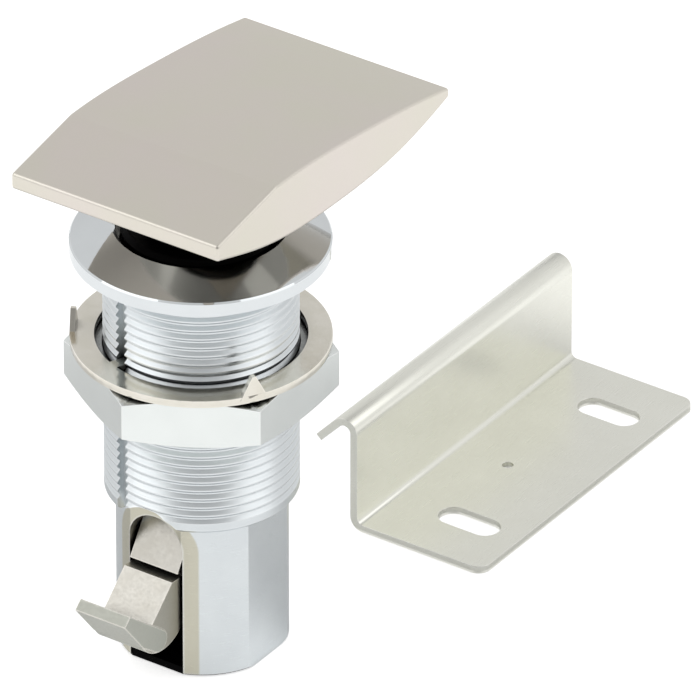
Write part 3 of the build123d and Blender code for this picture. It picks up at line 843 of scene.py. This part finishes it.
@dataclass
class Studio:
    """Plain white studio: floor, world, lamps and camera."""

    azimuth_deg: float = 34.5
    elevation_deg: float = 31.69
    distance: float = 2.321
    lens_mm: float = 785.2
    sensor_mm: float = 36.0
    clip: tuple[float, float] = (0.05, 20.0)
    aim_side: float = 22.6 * MM
    aim_height: float = -18.13 * MM
    lamp_aim: tuple[float, float, float] = (0.02, 0.03, -0.03)
    panels: tuple[Panel, ...] = (
        Panel("panel_left", -75.0, 40.0, 0.5),
        Panel("panel_right", 70.0, 45.0, 0.4),
    )
    paper: str = "#F4F4F4"
    floor_half: float = 1.5
    floor_drop: float = 0.02 * MM
    contact: float = 0.8 * MM
    floor_glow: float = 0.37
    floor_glow_seen: float = 0.25
    floor_dim: float = 0.42
    dim_turn: tuple[float, float] = (0.55, -0.45)
    dim_reach: tuple[float, float] = (0.12, 0.09)
    foot_reach: tuple[float, float] = (0.07, 0.03)
    foot_gain: float = 1.5
    wall_ahead: float = 0.88
    wall_beside: float = 1.02
    wall_behind: float = 0.4
    ceiling: float = 0.58
    beside_turn: tuple[float, float] = (0.25, 0.75)
    behind_turn: tuple[float, float] = (0.45, 0.8)
    ceiling_rise: tuple[float, float] = (0.88, 0.97)

    def shade_on_paper(self, tree: Tree) -> Socket:
        """Works out how much the latch dims the paper beside and behind it.

        Args:
            tree: the floor material's node tree.

        Returns:
            The socket with the dimming, 0 on paper in full light.
        """
        place = add_node(tree, "ShaderNodeTexCoord").outputs["Object"]
        aim = add_node(tree, "ShaderNodeVectorMath", {"operation": "NORMALIZE"}, {0: place})
        ahead = add_node(
            tree,
            "ShaderNodeVectorMath",
            {"operation": "DOT_PRODUCT"},
            {0: aim.outputs["Vector"], 1: toward(self.azimuth_deg)},
        ).outputs["Value"]
        reach = add_node(tree, "ShaderNodeVectorMath", {"operation": "LENGTH"}, {0: place}).outputs["Value"]
        dim = None
        # By direction, then by distance, and darkest close to the foot, where most light is kept off
        for value, (first, last), least, most in (
            (ahead, self.dim_turn, 0.0, self.floor_dim),
            (reach, self.dim_reach, 0.0, 1.0),
            (reach, self.foot_reach, 1.0, self.foot_gain),
        ):
            share = add_node(
                tree,
                "ShaderNodeMapRange",
                {"interpolation_type": "SMOOTHSTEP"},
                {"Value": value, "From Min": first, "From Max": last, "To Min": least, "To Max": most},
            ).outputs["Result"]
            if dim is not None:
                share = add_node(
                    tree, "ShaderNodeMath", {"operation": "MULTIPLY"}, {0: dim, 1: share}
                ).outputs[0]
            dim = share
        return dim

    def paper_glow(self, tree: Tree, seen: Socket) -> Socket:
        """Gives the paper its glow, which the camera sees whole and reflections see dimmed by the latch.

        Args:
            tree: the floor material's node tree.
            seen: the socket that is 1 for a camera ray.

        Returns:
            The socket with the strength of the glow, never below 0.
        """
        unseen = add_node(tree, "ShaderNodeMath", {"operation": "SUBTRACT"}, {0: 1.0, 1: seen})
        dimmed = add_node(
            tree,
            "ShaderNodeMath",
            {"operation": "MULTIPLY"},
            {0: self.shade_on_paper(tree), 1: unseen.outputs[0]},
        )
        whole = add_node(
            tree,
            "ShaderNodeMath",
            {"operation": "MULTIPLY_ADD"},
            {0: seen, 1: self.floor_glow_seen, 2: self.floor_glow},
        )
        return add_node(
            tree,
            "ShaderNodeMath",
            {"operation": "SUBTRACT", "use_clamp": True},
            {0: whole.outputs[0], 1: dimmed.outputs[0]},
        ).outputs[0]

    def floor_paint(self) -> bpy.types.Material:
        """Builds the paper's material, which can be looked through from below.

        Returns:
            The floor's material.
        """
        made = bpy.data.materials.new("studio_floor_paint")
        made.use_nodes = True
        tree = made.node_tree
        tree.nodes.clear()
        ray = add_node(tree, "ShaderNodeLightPath").outputs
        face = add_node(tree, "ShaderNodeNewGeometry").outputs
        paint = add_node(tree, "ShaderNodeBsdfDiffuse", inputs={"Color": linear(self.paper)}).outputs[0]
        glow = add_node(
            tree,
            "ShaderNodeEmission",
            inputs={"Color": linear("#FFFFFF"), "Strength": self.paper_glow(tree, ray["Is Camera Ray"])},
        )
        lit = add_node(tree, "ShaderNodeAddShader", inputs={0: paint, 1: glow.outputs[0]})
        bright = add_node(
            tree,
            "ShaderNodeMath",
            {"operation": "MAXIMUM"},
            {0: ray["Is Camera Ray"], 1: ray["Is Glossy Ray"]},
        )
        shown = add_node(
            tree, "ShaderNodeMixShader", inputs={0: bright.outputs[0], 1: paint, 2: lit.outputs[0]}
        )
        # A face that stands on the paper sees through it, so the underside isn't black from below
        touching = add_node(
            tree, "ShaderNodeMath", {"operation": "LESS_THAN"}, {0: ray["Ray Length"], 1: self.contact}
        )
        parting = add_node(
            tree, "ShaderNodeMath", {"operation": "MAXIMUM"}, {0: face["Backfacing"], 1: touching.outputs[0]}
        )
        clear = add_node(tree, "ShaderNodeBsdfTransparent")
        both = add_node(
            tree,
            "ShaderNodeMixShader",
            inputs={0: parting.outputs[0], 1: shown.outputs[0], 2: clear.outputs[0]},
        )
        add_node(tree, "ShaderNodeOutputMaterial", inputs={"Surface": both.outputs[0]})
        return made

    def build_floor(self) -> None:
        """Lays a white floor that keeps the latch's shadow."""
        bpy.ops.mesh.primitive_plane_add(size=2 * self.floor_half, location=(0, 0, FLOOR_Z - self.floor_drop))
        floor = bpy.context.object
        floor.name = "studio_floor"
        floor.data.materials.append(self.floor_paint())

    def build_world(self) -> None:
        """Lights the room with soft white walls, brightest at the sides and dimmest behind the camera."""
        world = bpy.data.worlds.new("studio_world")
        bpy.context.scene.world = world
        world.use_nodes = True
        tree = world.node_tree
        tree.nodes.clear()
        look = add_node(tree, "ShaderNodeTexCoord").outputs["Generated"]
        across, behind = (
            add_node(
                tree, "ShaderNodeVectorMath", {"operation": "DOT_PRODUCT"}, {0: look, 1: toward(turn_deg)}
            ).outputs["Value"]
            for turn_deg in (self.azimuth_deg + 90.0, self.azimuth_deg)
        )
        aside = add_node(tree, "ShaderNodeMath", {"operation": "ABSOLUTE"}, {0: across}).outputs[0]
        height = add_node(tree, "ShaderNodeSeparateXYZ", inputs={"Vector": look}).outputs["Z"]
        strength = self.wall_ahead
        # The side walls, the room behind the camera and the ceiling each take over from the wall ahead
        for value, (first, last), level in (
            (aside, self.beside_turn, self.wall_beside),
            (behind, self.behind_turn, self.wall_behind),
            (height, self.ceiling_rise, self.ceiling),
        ):
            share = add_node(
                tree,
                "ShaderNodeMapRange",
                {"interpolation_type": "SMOOTHSTEP"},
                {"Value": value, "From Min": first, "From Max": last},
            )
            strength = add_node(
                tree,
                "ShaderNodeMix",
                {"data_type": "FLOAT"},
                {0: share.outputs["Result"], 2: strength, 3: level},
            ).outputs[0]
        room = add_node(tree, "ShaderNodeBackground", inputs={"Strength": strength})
        plain = add_node(tree, "ShaderNodeBackground", inputs={"Strength": 1.0})
        seen = add_node(tree, "ShaderNodeLightPath").outputs["Is Camera Ray"]
        shown = add_node(
            tree, "ShaderNodeMixShader", inputs={0: seen, 1: room.outputs[0], 2: plain.outputs[0]}
        )
        add_node(tree, "ShaderNodeOutputWorld", inputs={"Surface": shown.outputs[0]})

    def build_lamps(self) -> None:
        """Hangs two large soft panels, left and right of the camera."""
        for panel in self.panels:
            away = toward(self.azimuth_deg + panel.turn_deg, panel.rise_deg)
            data = bpy.data.lights.new(panel.name, "AREA")
            data.size = panel.size
            data.energy = panel.power
            lamp = bpy.data.objects.new(panel.name, data)
            lamp.location = Vector(self.lamp_aim) + away * panel.distance
            lamp.rotation_euler = away.to_track_quat("Z", "Y").to_euler()
            bpy.context.scene.collection.objects.link(lamp)

    def build_camera(self) -> None:
        """Sets the camera at the photograph's angle, far off and with a long lens."""
        back = toward(self.azimuth_deg, self.elevation_deg)
        right = toward(self.azimuth_deg + 90.0)
        aim = right * self.aim_side + Vector((0.0, 0.0, self.aim_height))
        data = bpy.data.cameras.new("photo_camera")
        data.lens = self.lens_mm
        data.sensor_width = self.sensor_mm
        data.clip_start, data.clip_end = self.clip
        camera = bpy.data.objects.new("photo_camera", data)
        camera.location = aim + back * self.distance
        camera.rotation_euler = back.to_track_quat("Z", "Y").to_euler()
        bpy.context.scene.collection.objects.link(camera)
        bpy.context.scene.camera = camera

    def build(self) -> None:
        """Builds the whole studio."""
        self.build_floor()
        self.build_world()
        self.build_lamps()
        self.build_camera()
        bpy.context.scene.view_settings.view_transform = "Standard"


def main() -> None:
    """Builds and dresses the latch."""
    logging.basicConfig(level=logging.INFO, format="%(name)s: %(message)s")
    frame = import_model()
    Studio().build()
    for unit in (HandleUnit(), BarrelUnit(), PawlUnit(), ClampUnit(), StrikeUnit()):
        unit.dress(frame["nodes"])
        unit.add_pieces()


if __name__ == "__main__":
    main()
